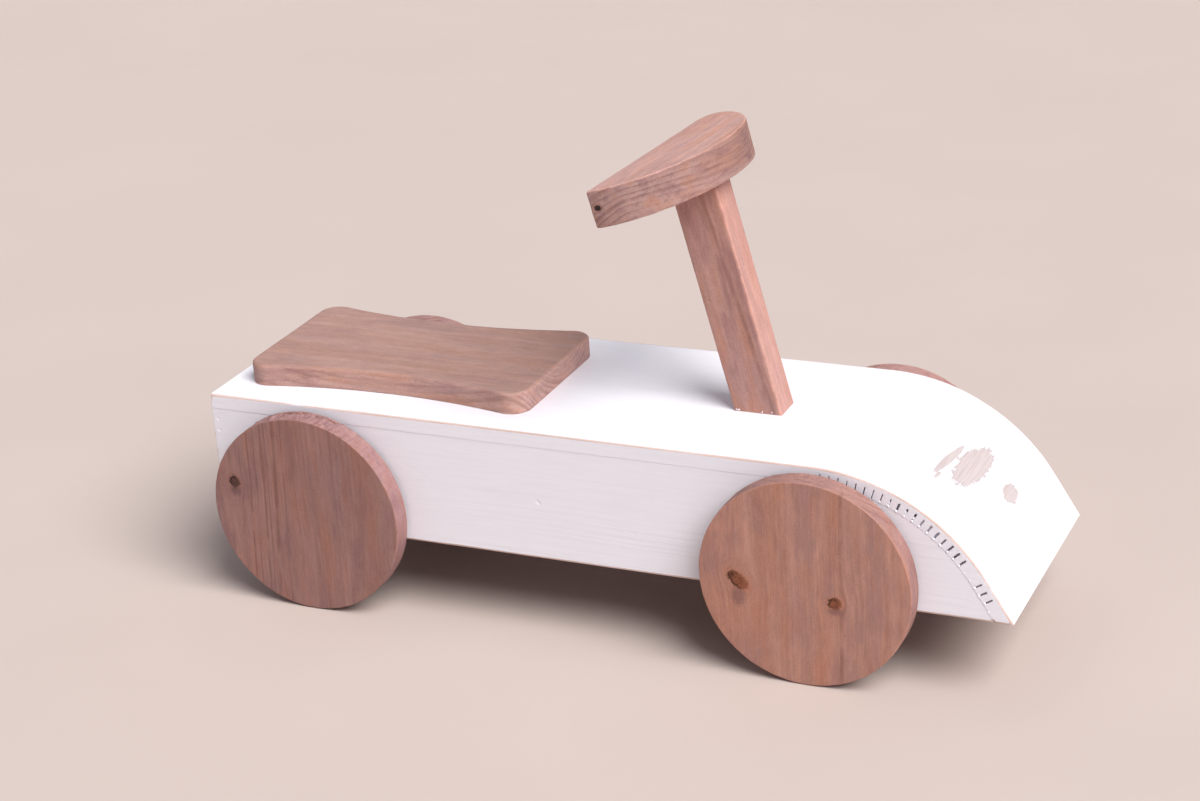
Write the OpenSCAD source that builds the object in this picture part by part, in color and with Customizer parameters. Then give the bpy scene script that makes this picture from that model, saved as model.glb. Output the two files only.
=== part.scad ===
// Wooden toddler ride-on: a box body with a kerf-bent nose, a waisted seat, a slanted post with a
// D-shaped handlebar, and four disc wheels glued in pairs to two dowel axles.
// X points forward, Z up. The origin is on the ground under the middle of the body.

/* [Body] */
// Length from the rear face to the tip of the nose
body_l = 670; // [620:5:720]
// Width over the two side panels
body_w = 200; // [180:2:230]
// Height from the bottom edge to the deck
body_h = 107; // [102:1:112]
// Thickness of the deck board and of the rear panel
board_t = 12; // [10:1:14]
// Thickness of the side panels, strips, blocks and braces
side_t = 18; // [15:1:20]

/* [Nose] */
// Radius of the bend on the outer face of the deck board
nose_r = 157; // [150:1:165]
// Angle that the deck board is bent down by
nose_angle = 58; // [52:1:62]
// Number of saw cuts across the inner face of the bend
kerf_count = 25; // [12:1:25]
// Width of one saw cut
kerf_w = 2; // [1:0.2:2.6]
// Wood left between a saw cut and the outer face
kerf_skin = 3.6; // [2.5:0.1:5]

/* [Wheels] */
// Wheel diameter
wheel_d = 168; // [150:2:180]
// Wheel thickness
wheel_t = 18; // [16:1:22]
// Gap between a wheel and the side panel
wheel_gap = 3.5; // [3:0.5:7]
// Distance of the front axle from the rear face
front_axle_l = 516; // [500:1:530]
// Distance of the rear axle from the rear face
rear_axle_l = 91; // [91:1:110]
// Height of the axles above the bottom edge of the body
axle_rise = 20; // [18:1:26]
// Diameter of the dowel axles
axle_d = 20; // [16:1:22]

/* [Seat] */
// Seat length
seat_l = 251; // [230:1:260]
// Seat width at its ends
seat_w = 142; // [136:1:150]
// Seat width at its waist
seat_waist = 118; // [112:1:124]
// Seat thickness
seat_t = 18; // [18:1:24]
// Distance of the seat from the rear face
seat_back = 18; // [12:1:24]
// Radius of the seat corners
seat_corner = 16; // [12:1:20]

/* [Handlebar] */
// Distance of the front of the post's foot from the rear face
post_front = 463; // [445:0.5:470]
// Post size across the body
post_w = 28; // [24:1:34]
// Post size along the body, square to its axis
post_d = 38; // [34:1:44]
// Post length along its axis, from the deck to the handlebar
post_l = 187; // [160:1:200]
// Angle that the post leans back by
post_lean = 14.5; // [8:0.5:18]
// Handlebar length from end to end
bar_l = 196; // [170:2:220]
// Handlebar depth from its straight rear edge to its curved front edge
bar_d = 70; // [64:1:80]
// Handlebar thickness
bar_t = 29; // [28:1:34]
// Distance of the straight edge behind the post's axis
bar_back = 36; // [32:1:40]
// Turn of the handlebar on its post, right end back
bar_skew = 6; // [0:0.5:8]

/* [Hidden] */
$fn = 96;

LEFT = 1;
RIGHT = -1;
PAINT = "white";
STAINED = [0.62, 0.43, 0.37];
RAW_WOOD = [0.85, 0.72, 0.55];
STEEL = [0.72, 0.72, 0.74];

over = 1;            // how far a cutter runs past the face it cuts
running_fit = 0.08;  // radial play of an axle in a side panel
glue_gap = 0.05;     // radial gap of a glued or screwed pin in its hole
side_play = 0.3;     // free play between a spacer and the side panel

wheel_r = wheel_d / 2;
bottom_z = wheel_r - axle_rise;
deck_z = bottom_z + body_h;
inner_w = body_w - 2 * side_t;
inner_h = body_h - board_t;

// The nose in side view, measured from the bottom rear corner of the body
bend_drop = nose_r * (1 - cos(nose_angle));
nose_straight = (body_h - bend_drop) / sin(nose_angle);
bend_x = body_l - nose_r * sin(nose_angle) - nose_straight * cos(nose_angle);
bend_z = body_h - nose_r;
bend_steps = 29;
inner_r = nose_r - board_t;
kerf_r = nose_r - board_t / 2;
kerf_pitch = 7;
kerf_first = 7.2;
bend_len = kerf_r * nose_angle * PI / 180;
nose_block_l = 44;
nose_block_h = 34;

// Wheels and axles
wheel_chamfer = 1.2;
wheel_in_y = body_w / 2 + wheel_gap;
bore_depth = 12;
axle_chamfer = 1;
axle_l = 2 * (wheel_in_y + bore_depth - 0.5);
spacer_d = 36;

// Fasteners
nail_d = 1.6;
nail_l = 35;
nail_x = 5;
nail_drops = [9, 19, 70, 84];      // below the top of the side panel
screw_head_h = 2.6;
seat_screw_d = 4;
seat_screw_l = 26;
seat_screw_x = [45, 206];          // from the rear end of the seat
seat_screw_y = 38;
post_screw_d = 5;
post_screw_l = 60;
post_screw_y = 7;
post_screw_back = 3;               // behind the middle of the post's foot
dowel_d = 8;
dowel_l = 40;
dowel_offset = 9;

// Post and handlebar
post_foot = post_d / cos(post_lean);
post_x = post_front - post_foot / 2;
post_edge = 3;
block_l = 116;
brace_h = 50;
front_brace_x = 405;
rear_brace_x = 190;

// The frames that the parts are drawn in

module from_rear(x) {
    translate([x - body_l / 2, 0, 0]) children();
}

// Draws a side view (x from the rear face, y from the bottom edge) as a plate w thick at mid-plane y
module side_view(w, y = 0) {
    from_rear(0) translate([0, y, bottom_z]) rotate([90, 0, 0]) linear_extrude(w, center = true) children();
}

module along_y(r, l, x, z) {
    from_rear(x) translate([0, 0, z]) rotate([90, 0, 0]) cylinder(r = r, h = l, center = true);
}

// The post's axis: z runs up the post from the deck, x points forward and up
module on_post() {
    from_rear(post_x) translate([0, 0, deck_z]) rotate([0, -post_lean, 0]) children();
}

// Body

// Side view of the top edge of a layer at radius r of the bend: level, round the bend in bend_steps
// short flats, and straight down to the bottom edge
function edge_line(r) = concat(
    [[0, bend_z + r]],
    [for (i = [0 : bend_steps])
        let (a = nose_angle * i / bend_steps) [bend_x + r * sin(a), bend_z + r * cos(a)]],
    [[bend_x + r * sin(nose_angle) + (bend_z + r * cos(nose_angle)) / tan(nose_angle), 0]]);

function reversed(points) = [for (i = [len(points) - 1 : -1 : 0]) points[i]];

module under_deck() {
    polygon(concat([[0, 0]], edge_line(inner_r)));
}

module deck_profile() {
    polygon(concat(edge_line(nose_r), reversed(edge_line(inner_r))));
}

// Saw cuts across the inner face, square to the board, following the bend and then the straight end
module kerfs() {
    for (i = [0 : kerf_count - 1]) {
        s = kerf_first + i * kerf_pitch;
        bent = min(s, bend_len);
        translate([bend_x, bend_z]) rotate(-bent / kerf_r * 180 / PI)
            translate([s - bent - kerf_w / 2, nose_r - board_t - over])
                square([kerf_w, board_t - kerf_skin + over]);
    }
}

module nails(r) {
    for (side = [RIGHT, LEFT], drop = nail_drops)
        from_rear(nail_x) translate([0, side * (body_w / 2 - nail_l / 2), bottom_z + inner_h - drop])
            rotate([90, 0, 0]) cylinder(r = r, h = nail_l, center = true);
}

module seat_screw_places() {
    for (x = seat_screw_x, side = [RIGHT, LEFT])
        from_rear(seat_back + x) translate([0, side * seat_screw_y, deck_z - board_t]) children();
}

module post_screw_places() {
    for (side = [RIGHT, LEFT])
        from_rear(post_x - post_screw_back)
            translate([0, side * post_screw_y, deck_z - board_t - side_t]) children();
}

module side_panel(side) {
    color(PAINT) difference() {
        side_view(side_t, side * (body_w - side_t) / 2) under_deck();
        for (x = [front_axle_l, rear_axle_l])
            along_y(axle_d / 2 + running_fit, body_w + over, x, wheel_r);
        nails(nail_d / 2 + glue_gap);
    }
}

module top_board() {
    color(PAINT) difference() {
        side_view(body_w) difference() {
            deck_profile();
            kerfs();
        }
        seat_screw_places() translate([0, 0, -over])
            cylinder(r = seat_screw_d / 2 + glue_gap, h = board_t + 2 * over);
        post_screw_places() translate([0, 0, side_t - over])
            cylinder(r = post_screw_d / 2 + glue_gap, h = board_t + 2 * over);
    }
}

module rear_panel() {
    color(PAINT) difference() {
        side_view(inner_w) square([board_t, inner_h]);
        nails(nail_d / 2 + glue_gap);
    }
}

module rear_nails() {
    color(STEEL) nails(nail_d / 2);
}

module nose_block() {
    color(RAW_WOOD) side_view(inner_w) intersection() {
        under_deck();
        translate([body_l - board_t / sin(nose_angle) - nose_block_l, 0]) square([nose_block_l, nose_block_h]);
    }
}

module brace(x) {
    color(RAW_WOOD) side_view(inner_w) translate([x, 0]) square([side_t, brace_h]);
}

module glue_strip(side) {
    color(RAW_WOOD) side_view(side_t, side * (inner_w - side_t) / 2)
        translate([board_t, inner_h - side_t]) square([bend_x - board_t, side_t]);
}

module post_block() {
    color(RAW_WOOD) difference() {
        side_view(inner_w - 2 * side_t)
            translate([post_x - block_l / 2, inner_h - side_t]) square([block_l, side_t]);
        post_screw_places() translate([0, 0, -over])
            cylinder(r = post_screw_d / 2 + glue_gap, h = side_t + 2 * over);
    }
}

// Seat

// Round corners run smoothly into a hollow arc on each long side
module seat_outline() {
    half = seat_l / 2 - seat_corner;
    corner_y = seat_w / 2 - seat_corner;
    step = seat_waist / 2 - corner_y;
    waist_r = (half * half + step * step - seat_corner * seat_corner) / (2 * (seat_corner - step));
    joint_x = seat_corner * (1 + half / (waist_r + seat_corner));
    joint_y = seat_waist / 2 + waist_r - sqrt(pow(waist_r, 2) - pow(seat_l / 2 - joint_x, 2));
    difference() {
        union() {
            translate([0, -corner_y]) square([seat_l, 2 * corner_y]);
            translate([joint_x, -joint_y]) square([seat_l - 2 * joint_x, 2 * joint_y]);
            for (x = [seat_corner, seat_l - seat_corner], side = [RIGHT, LEFT])
                translate([x, side * corner_y]) circle(seat_corner);
        }
        for (side = [RIGHT, LEFT])
            translate([seat_l / 2, side * (seat_waist / 2 + waist_r)]) circle(waist_r);
    }
}

module seat_board() {
    color(STAINED) difference() {
        from_rear(seat_back) translate([0, 0, deck_z]) linear_extrude(seat_t) seat_outline();
        seat_screw_places() cylinder(r = seat_screw_d / 2 + glue_gap, h = seat_screw_l + over);
    }
}

// Pan-head wood screw pointing up, its head under z = 0
module wood_screw(d, l) {
    rotate_extrude() polygon([[0, -screw_head_h], [d * 0.7, -screw_head_h], [d, -screw_head_h / 3], [d, 0],
                              [d / 2, 0], [d / 2, l - d], [0, l]]);
}

module seat_screws() {
    color(STEEL) seat_screw_places() wood_screw(seat_screw_d, seat_screw_l);
}

module post_screws() {
    color(STEEL) post_screw_places() wood_screw(post_screw_d, post_screw_l);
}

// Post and handlebar

module rounded_bar(d, w, r) {
    union() {
        square([d - 2 * r, w], center = true);
        square([d, w - 2 * r], center = true);
        for (x = [-1, 1], y = [-1, 1])
            translate([x * (d / 2 - r), y * (w / 2 - r)]) circle(r);
    }
}

module dowel_places() {
    on_post() for (x = [-dowel_offset, dowel_offset])
        translate([x, 0, post_l - dowel_l / 2]) children();
}

module steering_post() {
    foot_run = post_d * tan(post_lean);
    color(STAINED) difference() {
        on_post() translate([0, 0, -foot_run]) linear_extrude(post_l + foot_run)
            rounded_bar(post_d, post_w, post_edge);
        from_rear(post_x) translate([-post_d, -post_w, deck_z - 2 * foot_run])
            cube([2 * post_d, 2 * post_w, 2 * foot_run]);
        post_screw_places() cylinder(r = post_screw_d / 2 + glue_gap, h = post_screw_l + over);
        dowel_places() translate([0, 0, -over]) cylinder(r = dowel_d / 2 + glue_gap, h = dowel_l);
    }
}

// D shape: a half ellipse in front of the straight edge, its left corner rounded off with an arc that
// leaves the ellipse smoothly and ends square on the straight edge
bar_turn = 74;       // ellipse angle at which the corner arc takes over
bar_step = 4;
bar_normal = atan2(bar_d * sin(bar_turn), bar_l / 2 * cos(bar_turn));
bar_corner = bar_d * cos(bar_turn) / (1 + cos(bar_normal));
bar_corner_y = bar_l / 2 * sin(bar_turn) - bar_corner * sin(bar_normal);
bar_points = concat(
    [for (a = [-90 : bar_step : bar_turn]) [bar_d * cos(a), bar_l / 2 * sin(a)]],
    [for (a = [bar_normal : bar_step * 3 : 180])
        [bar_corner * (1 + cos(a)), bar_corner_y + bar_corner * sin(a)]],
    [[0, bar_corner_y]]);

module handlebar() {
    color(STAINED) difference() {
        on_post() translate([0, 0, post_l]) rotate(-bar_skew)
            linear_extrude(bar_t) translate([-bar_back, 0]) polygon(bar_points);
        dowel_places() cylinder(r = dowel_d / 2 + glue_gap, h = dowel_l + over / 2);
    }
}

module handlebar_dowels() {
    color(RAW_WOOD) dowel_places() cylinder(r = dowel_d / 2, h = dowel_l - over);
}

// Wheels

module axle(x) {
    color(RAW_WOOD) from_rear(x) translate([0, 0, wheel_r]) rotate([90, 0, 0]) rotate_extrude()
        polygon([[0, -axle_l / 2], [axle_d / 2 - axle_chamfer, -axle_l / 2],
                 [axle_d / 2, axle_chamfer - axle_l / 2], [axle_d / 2, axle_l / 2 - axle_chamfer],
                 [axle_d / 2 - axle_chamfer, axle_l / 2], [0, axle_l / 2]]);
}

// Disc with a broken edge on both faces and a blind bore from its inner face
module wheel(x, side) {
    bore_r = axle_d / 2 + glue_gap;
    color(STAINED) from_rear(x) translate([0, side * wheel_in_y, wheel_r]) rotate([-90 * side, 0, 0])
        rotate_extrude() polygon([
            [bore_r, 0], [wheel_r - wheel_chamfer, 0], [wheel_r, wheel_chamfer],
            [wheel_r, wheel_t - wheel_chamfer], [wheel_r - wheel_chamfer, wheel_t], [0, wheel_t],
            [0, bore_depth], [bore_r, bore_depth]]);
}

module spacers(x) {
    color(RAW_WOOD) for (side = [RIGHT, LEFT])
        from_rear(x) translate([0, side * wheel_in_y, wheel_r]) rotate([90 * side, 0, 0])
            rotate_extrude() translate([axle_d / 2 + glue_gap, 0])
                square([(spacer_d - axle_d) / 2 - glue_gap, wheel_gap - side_play]);
}

side_panel(RIGHT);  // side_panel_right
side_panel(LEFT);  // side_panel_left
top_board();
rear_panel();
nose_block();
brace(front_brace_x);  // front_brace
brace(rear_brace_x);  // rear_brace
glue_strip(RIGHT);  // glue_strip_right
glue_strip(LEFT);  // glue_strip_left
post_block();
rear_nails();
steering_post();
post_screws();
handlebar();
handlebar_dowels();
seat_board();
seat_screws();
axle(front_axle_l);  // front_axle
wheel(front_axle_l, RIGHT);  // wheel_front_right
wheel(front_axle_l, LEFT);  // wheel_front_left
spacers(front_axle_l);  // front_spacers
axle(rear_axle_l);  // rear_axle
wheel(rear_axle_l, RIGHT);  // wheel_rear_right
wheel(rear_axle_l, LEFT);  // wheel_rear_left
spacers(rear_axle_l);  // rear_spacers
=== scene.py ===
"""Looks of the wooden toddler ride-on: detailed boards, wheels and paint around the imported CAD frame."""
import random
from math import atan2, cos, degrees, dist, exp, hypot, pi, radians, sin, tan
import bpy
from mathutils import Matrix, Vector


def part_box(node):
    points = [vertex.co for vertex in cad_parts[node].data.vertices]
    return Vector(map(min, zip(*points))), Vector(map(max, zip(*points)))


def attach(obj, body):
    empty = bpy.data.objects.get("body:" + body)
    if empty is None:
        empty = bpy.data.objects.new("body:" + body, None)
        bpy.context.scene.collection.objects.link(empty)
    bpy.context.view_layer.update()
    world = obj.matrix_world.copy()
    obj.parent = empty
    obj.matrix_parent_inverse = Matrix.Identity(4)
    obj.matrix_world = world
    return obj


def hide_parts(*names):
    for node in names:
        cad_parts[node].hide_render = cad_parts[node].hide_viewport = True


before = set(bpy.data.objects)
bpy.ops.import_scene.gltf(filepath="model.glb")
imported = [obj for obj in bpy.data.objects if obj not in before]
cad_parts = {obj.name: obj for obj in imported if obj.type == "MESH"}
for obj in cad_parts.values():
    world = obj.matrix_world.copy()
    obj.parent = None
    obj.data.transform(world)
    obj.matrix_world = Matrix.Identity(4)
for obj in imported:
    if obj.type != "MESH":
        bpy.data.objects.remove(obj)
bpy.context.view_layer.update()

from types import SimpleNamespace

import bmesh
import bpy
import numpy as np
from mathutils import Matrix, Vector, noise
from mathutils.geometry import delaunay_2d_cdt

MM = 0.001
X, Y, Z = Vector((1, 0, 0)), Vector((0, 1, 0)), Vector((0, 0, 1))
RIGHT, LEFT = -1, 1
TINY = 1e-6
scene = bpy.context.scene

# ---------------- sizes, in metres, taken from the frame
PANEL_LOW, PANEL_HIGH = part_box("side_panel_left")
BOARD_LOW, BOARD_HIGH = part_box("top_board")
REAR_X, TIP_X = BOARD_LOW.x, BOARD_HIGH.x
BOTTOM_Z, DECK_Z = BOARD_LOW.z, BOARD_HIGH.z
HALF_W = BOARD_HIGH.y
SIDE_T = HALF_W - PANEL_LOW.y
BOARD_T = DECK_Z - PANEL_HIGH.z

# The bend of the nose and its saw cuts, as the CAD has them
NOSE_R = 157 * MM
NOSE_ANGLE = radians(58)
BEND_Z = DECK_Z - NOSE_R
NOSE_STRAIGHT = (BEND_Z + NOSE_R * cos(NOSE_ANGLE) - BOTTOM_Z) / sin(NOSE_ANGLE)
BEND_X = TIP_X - NOSE_R * sin(NOSE_ANGLE) - NOSE_STRAIGHT * cos(NOSE_ANGLE)
KERF_R = NOSE_R - BOARD_T / 2
KERF_FIRST, KERF_PITCH, KERF_COUNT = 7.2 * MM, 7 * MM, 25
KERF_W = 2 * MM
KERF_SKIN = 3.6 * MM
BEND_LENGTH = NOSE_ANGLE * KERF_R

POST_LEAN = radians(14.5)
POST_D, POST_W, POST_L = 38 * MM, 28 * MM, 187 * MM
POST_FOOT = Vector((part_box("steering_post")[1].x - POST_D / cos(POST_LEAN) / 2, 0, DECK_Z))
POST_UP = Vector((-sin(POST_LEAN), 0, cos(POST_LEAN)))
POST_FORE = Vector((cos(POST_LEAN), 0, sin(POST_LEAN)))

BAR_L, BAR_D, BAR_T, BAR_BACK = 196 * MM, 70 * MM, 29 * MM, 36 * MM
BAR_SKEW = radians(6)
BAR_TURN = radians(74)
BAR_FORE = POST_FORE * cos(BAR_SKEW) - Y * sin(BAR_SKEW)
BAR_LONG = Y * cos(BAR_SKEW) + POST_FORE * sin(BAR_SKEW)
BAR_FOOT = POST_FOOT + POST_UP * POST_L

SEAT_LOW, SEAT_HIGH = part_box("seat_board")
SEAT_WAIST, SEAT_CORNER = 118 * MM, 16 * MM


# ---------------- meshes

MITRE_LIMIT = 0.5
NO_LENGTH = 1e-18
MERGE_DISTANCE = 1e-7
FINER_STEPS = 5
ROUND_STEPS = 3
GUARD = 0.5 * MM
SHARP_ANGLE = radians(38)


def mitres(outline):
    """Inward offset of each point of a counter-clockwise outline, for an inset of one."""
    found = []
    for i, point in enumerate(outline):
        before = (point - outline[i - 1]).normalized()
        after = (outline[(i + 1) % len(outline)] - point).normalized()
        inward = Vector((-before.y - after.y, before.x + after.x))
        found.append(inward * 2 / max(inward.length_squared, MITRE_LIMIT))
    return found


def dense(points, step):
    """The closed outline through points, with its long sides cut into steps."""
    found = []
    for i, start in enumerate(points):
        end = points[(i + 1) % len(points)]
        count = max(1, round((end - start).length / step))
        found += [start.lerp(end, k / count) for k in range(count)]
    return found


def inside(points, outline, margin):
    """The points that lie in the outline and at least margin from its line."""
    start = np.array([tuple(p) for p in outline])
    side = np.roll(start, -1, axis=0) - start
    length = np.maximum((side ** 2).sum(1), NO_LENGTH)
    kept = []
    for x, y in points:
        away = np.array([x, y]) - start
        along = np.clip((away * side).sum(1) / length, 0, 1)
        near = ((away - side * along[:, None]) ** 2).sum(1).min()
        crosses = (start[:, 1] > y) != (start[:, 1] + side[:, 1] > y)
        rise = np.where(side[:, 1] == 0, 1, side[:, 1])
        right = x < start[:, 0] + side[:, 0] * (y - start[:, 1]) / rise
        if near > margin ** 2 and (crosses & right).sum() % 2:
            kept.append(Vector((x, y)))
    return kept


def lattice(outline, spacing, finer):
    """Points of a staggered grid in the outline, closer together in the circles (x, y, radius) of finer."""
    low = [min(p[k] for p in outline) for k in (0, 1)]
    high = [max(p[k] for p in outline) for k in (0, 1)]
    points = []
    rows = int((high[1] - low[1]) / spacing) + 1
    for j in range(rows):
        start = low[0] + spacing * (0.25 if j % 2 else 0.75)
        for i in range(int((high[0] - start) / spacing) + 1):
            points.append((start + i * spacing, low[1] + (j + 0.5) * spacing))
    for x, y, radius in finer:
        points = [p for p in points if dist(p, (x, y)) > radius]
        small = radius / FINER_STEPS
        reach = range(-FINER_STEPS, FINER_STEPS + 1)
        points += [(x + i * small, y + j * small) for i in reach for j in reach
                   if hypot(i, j) <= FINER_STEPS]
    return inside(points, outline, spacing * 0.4)


def cap(outline, spacing, finer):
    """Fills an outline with triangles: the points added in it, and triples of indices into both lists."""
    added = lattice(outline, spacing, finer)
    corners = [list(range(len(outline)))]
    _, _, faces, sources, _, _ = delaunay_2d_cdt(outline + added, [], corners, 1, MERGE_DISTANCE)
    return added, [[sources[i][0] for i in face] for face in faces]


def end_rings(outline, edges, corner, inwards):
    """The rings of points (u, v, w, wear) at one end of a board, from its flat face round the arris to its
    side. A guard ring on either side of the rounding keeps the shading of the flat surfaces flat."""
    directions = mitres(outline)

    def ring(inset, depth, worn, guard_in=0.0, guard_down=0.0):
        made = []
        for p, way, (radius, wear) in zip(outline, directions, edges):
            flat = p + way * (inset * radius + guard_in)
            made.append((flat.x, flat.y, corner + inwards * (depth * radius + guard_down), wear * worn))
        return made

    turns = [k / ROUND_STEPS * pi / 2 for k in range(ROUND_STEPS + 1)]
    rounding = [ring(1 - sin(turn), 1 - cos(turn), 1) for turn in turns]
    return [ring(1, 0, 0, guard_in=GUARD), *rounding, ring(0, 1, 0, guard_down=GUARD)]


def slab(name, outline, low, high, place, edge, spacing, side_step, finer=()):
    """A board cut to outline, from low to high through its thickness. edge(u, v, end) gives the rounding
    radius and the wear of each arris, end being 0 at low and 1 at high; place(u, v, w) gives the point."""
    edges = [[edge(p.x, p.y, end) for p in outline] for end in (0, 1)]
    first = end_rings(outline, edges[0], low, 1)
    last = end_rings(outline, edges[1], high, -1)[::-1]
    steps = max(1, round((high - low) / side_step))
    middle = [[(u, v, start + (end - start) * k / steps, 0) for (u, v, start, _), (_, _, end, _)
               in zip(first[-1], last[0])] for k in range(1, steps)]
    rings = first + middle + last

    count = len(outline)
    spots = [spot for one in rings for spot in one]
    faces = []
    for k in range(len(rings) - 1):
        for i in range(count):
            after = (i + 1) % count
            faces.append((k * count + i, k * count + after, (k + 1) * count + after, (k + 1) * count + i))
    for k, depth in ((0, low), (len(rings) - 1, high)):
        added, triangles = cap([Vector(spot[:2]) for spot in rings[k]], spacing, finer)
        extra = len(spots)
        spots += [(p.x, p.y, depth, 0) for p in added]
        for triangle in triangles:
            faces.append([k * count + i if i < count else extra + i - count for i in triangle])
    return mesh_piece(name, [place(*spot[:3]) for spot in spots], faces, [spot[3] for spot in spots])


def mesh_piece(name, points, faces, wear):
    """A new object with faces that look outwards, and how worn each of its points is."""
    mesh = bpy.data.meshes.new(name)
    mesh.from_pydata(points, [], faces)
    work = bmesh.new()
    work.from_mesh(mesh)
    bmesh.ops.recalc_face_normals(work, faces=work.faces)
    work.to_mesh(mesh)
    work.free()
    mesh.attributes.new("wear", "FLOAT", "POINT").data.foreach_set("value", wear)
    return smooth_piece(name, mesh)


def bmesh_piece(name, work):
    """A new object from a bmesh, which is freed."""
    mesh = bpy.data.meshes.new(name)
    work.to_mesh(mesh)
    work.free()
    return smooth_piece(name, mesh)


def smooth_piece(name, mesh):
    """An object for the mesh, smooth apart from its sharp edges."""
    mesh.polygons.foreach_set("use_smooth", [True] * len(mesh.polygons))
    mesh.set_sharp_from_angle(angle=SHARP_ANGLE)
    piece = bpy.data.objects.new(name, mesh)
    scene.collection.objects.link(piece)
    return piece


def reshape(piece, lift):
    """Moves each point of the piece along its normal by lift(point, normal)."""
    mesh = piece.data
    normals = [vertex.normal.copy() for vertex in mesh.vertices]
    for vertex, normal in zip(mesh.vertices, normals):
        vertex.co += normal * lift(vertex.co, normal)
    mesh.update()


def ripple(point, size, seed=0.0):
    """Smooth noise from -1 to 1 with features of about size."""
    return noise.noise(Vector(point) / size + Vector((seed, seed * 1.7, seed * 0.6)))


def finish_piece(piece, material, slot, *nodes, body="chassis"):
    """Gives the piece its material and body, and hides the CAD nodes that it replaces. slot is not used."""
    piece.data.materials.append(material)
    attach(piece, body)
    if nodes:
        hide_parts(*nodes)
    return piece


# ---------------- material nodes

def operator(operation, swapped=False):
    """A method that puts a value, and any other term, through a math node."""
    def method(self, *others):
        terms = (*others, self) if swapped else (self, *others)
        return self.graph.math(operation, *terms)
    return method


class Value:
    """A number that flows through a material's nodes, with plain arithmetic."""

    def __init__(self, graph, socket):
        self.graph = graph
        self.socket = socket

    __add__ = __radd__ = operator("ADD")
    __mul__ = __rmul__ = operator("MULTIPLY")
    __sub__ = operator("SUBTRACT")
    __rsub__ = operator("SUBTRACT", swapped=True)
    __truediv__ = operator("DIVIDE")
    __rtruediv__ = operator("DIVIDE", swapped=True)
    max = operator("MAXIMUM")
    min = operator("MINIMUM")
    abs = operator("ABSOLUTE")
    sqrt = operator("SQRT")
    fract = operator("FRACT")

    def step(self, low, high):
        """0 below low and 1 above high, smooth between them; falls instead if low is above high."""
        if low > high:
            return 1 - self.step(high, low)
        return self.graph.value("ShaderNodeMapRange", {"Value": self, "From Min": low, "From Max": high},
                                "Result", interpolation_type="SMOOTHSTEP")


class Graph:
    """One material's nodes, written as expressions. Lengths in it are millimetres in the row frame."""

    def __init__(self, name, specular=0.5):
        self.material = bpy.data.materials.new(name)
        self.material.use_nodes = True
        self.tree = self.material.node_tree
        self.shader = self.tree.nodes["Principled BSDF"]
        self.shader.inputs["Specular IOR Level"].default_value = specular
        place = self.node("ShaderNodeTexCoord", {}).outputs["Object"]
        self.x, self.y, self.z = self.split(self.value("ShaderNodeVectorMath", {0: place, 1: (1000,) * 3},
                                                       "Vector", operation="MULTIPLY"))
        normal = self.value("ShaderNodeNewGeometry", {}, "Normal")
        turned = self.value("ShaderNodeVectorTransform", {"Vector": normal}, "Vector",
                            vector_type="NORMAL", convert_from="WORLD", convert_to="OBJECT")
        self.facing = self.split(turned)

    def node(self, kind, inputs, **settings):
        made = self.tree.nodes.new(kind)
        for key, setting in settings.items():
            setattr(made, key, setting)
        for key, given in inputs.items():
            given = given.socket if isinstance(given, Value) else given
            if isinstance(given, bpy.types.NodeSocket):
                self.tree.links.new(given, made.inputs[key])
            else:
                made.inputs[key].default_value = given
        return made

    def value(self, kind, inputs, output, **settings):
        return Value(self, self.node(kind, inputs, **settings).outputs[output])

    def math(self, operation, *terms):
        return self.value("ShaderNodeMath", dict(enumerate(terms)), 0, operation=operation)

    def split(self, vector):
        made = self.node("ShaderNodeSeparateXYZ", {0: vector})
        return [Value(self, socket) for socket in made.outputs]

    def vector(self, x, y, z):
        return self.value("ShaderNodeCombineXYZ", {0: x, 1: y, 2: z}, 0)

    def noise(self, x, y, z, detail=2.0, rough=0.5):
        return self.value("ShaderNodeTexNoise", {"Vector": self.vector(x, y, z), "Scale": 1.0,
                                                 "Detail": detail, "Roughness": rough}, "Fac")

    def specks(self, x, y, z):
        """Distance to the nearest of the points scattered one in each unit cell, and its random number."""
        made = self.node("ShaderNodeTexVoronoi", {"Vector": self.vector(x, y, z), "Scale": 1.0})
        return Value(self, made.outputs["Distance"]), self.split(Value(self, made.outputs["Color"]))[0]

    def mix(self, factor, low, high):
        low, high = [c if isinstance(c, Value) else (*c, 1) for c in (low, high)]
        return self.value("ShaderNodeMix", {0: factor, 6: low, 7: high}, 2, data_type="RGBA")

    def scale(self, colour, factor):
        return self.value("ShaderNodeVectorMath", {0: colour, "Scale": factor}, 0, operation="SCALE")

    def towards(self, way):
        """Cosine of the angle between a direction and the way the surface faces."""
        return self.facing[0] * way[0] + self.facing[1] * way[1] + self.facing[2] * way[2]

    def attribute(self, name):
        return self.value("ShaderNodeAttribute", {}, "Fac", attribute_name=name)

    def finish(self, colour, roughness, height):
        """Sets the surface. height is in millimetres."""
        self.tree.links.new(colour.socket, self.shader.inputs["Base Color"])
        self.tree.links.new(roughness.socket, self.shader.inputs["Roughness"])
        bump = self.node("ShaderNodeBump", {"Height": height, "Distance": MM, "Strength": 1.0})
        self.tree.links.new(bump.outputs[0], self.shader.inputs["Normal"])
        return self.material


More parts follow.
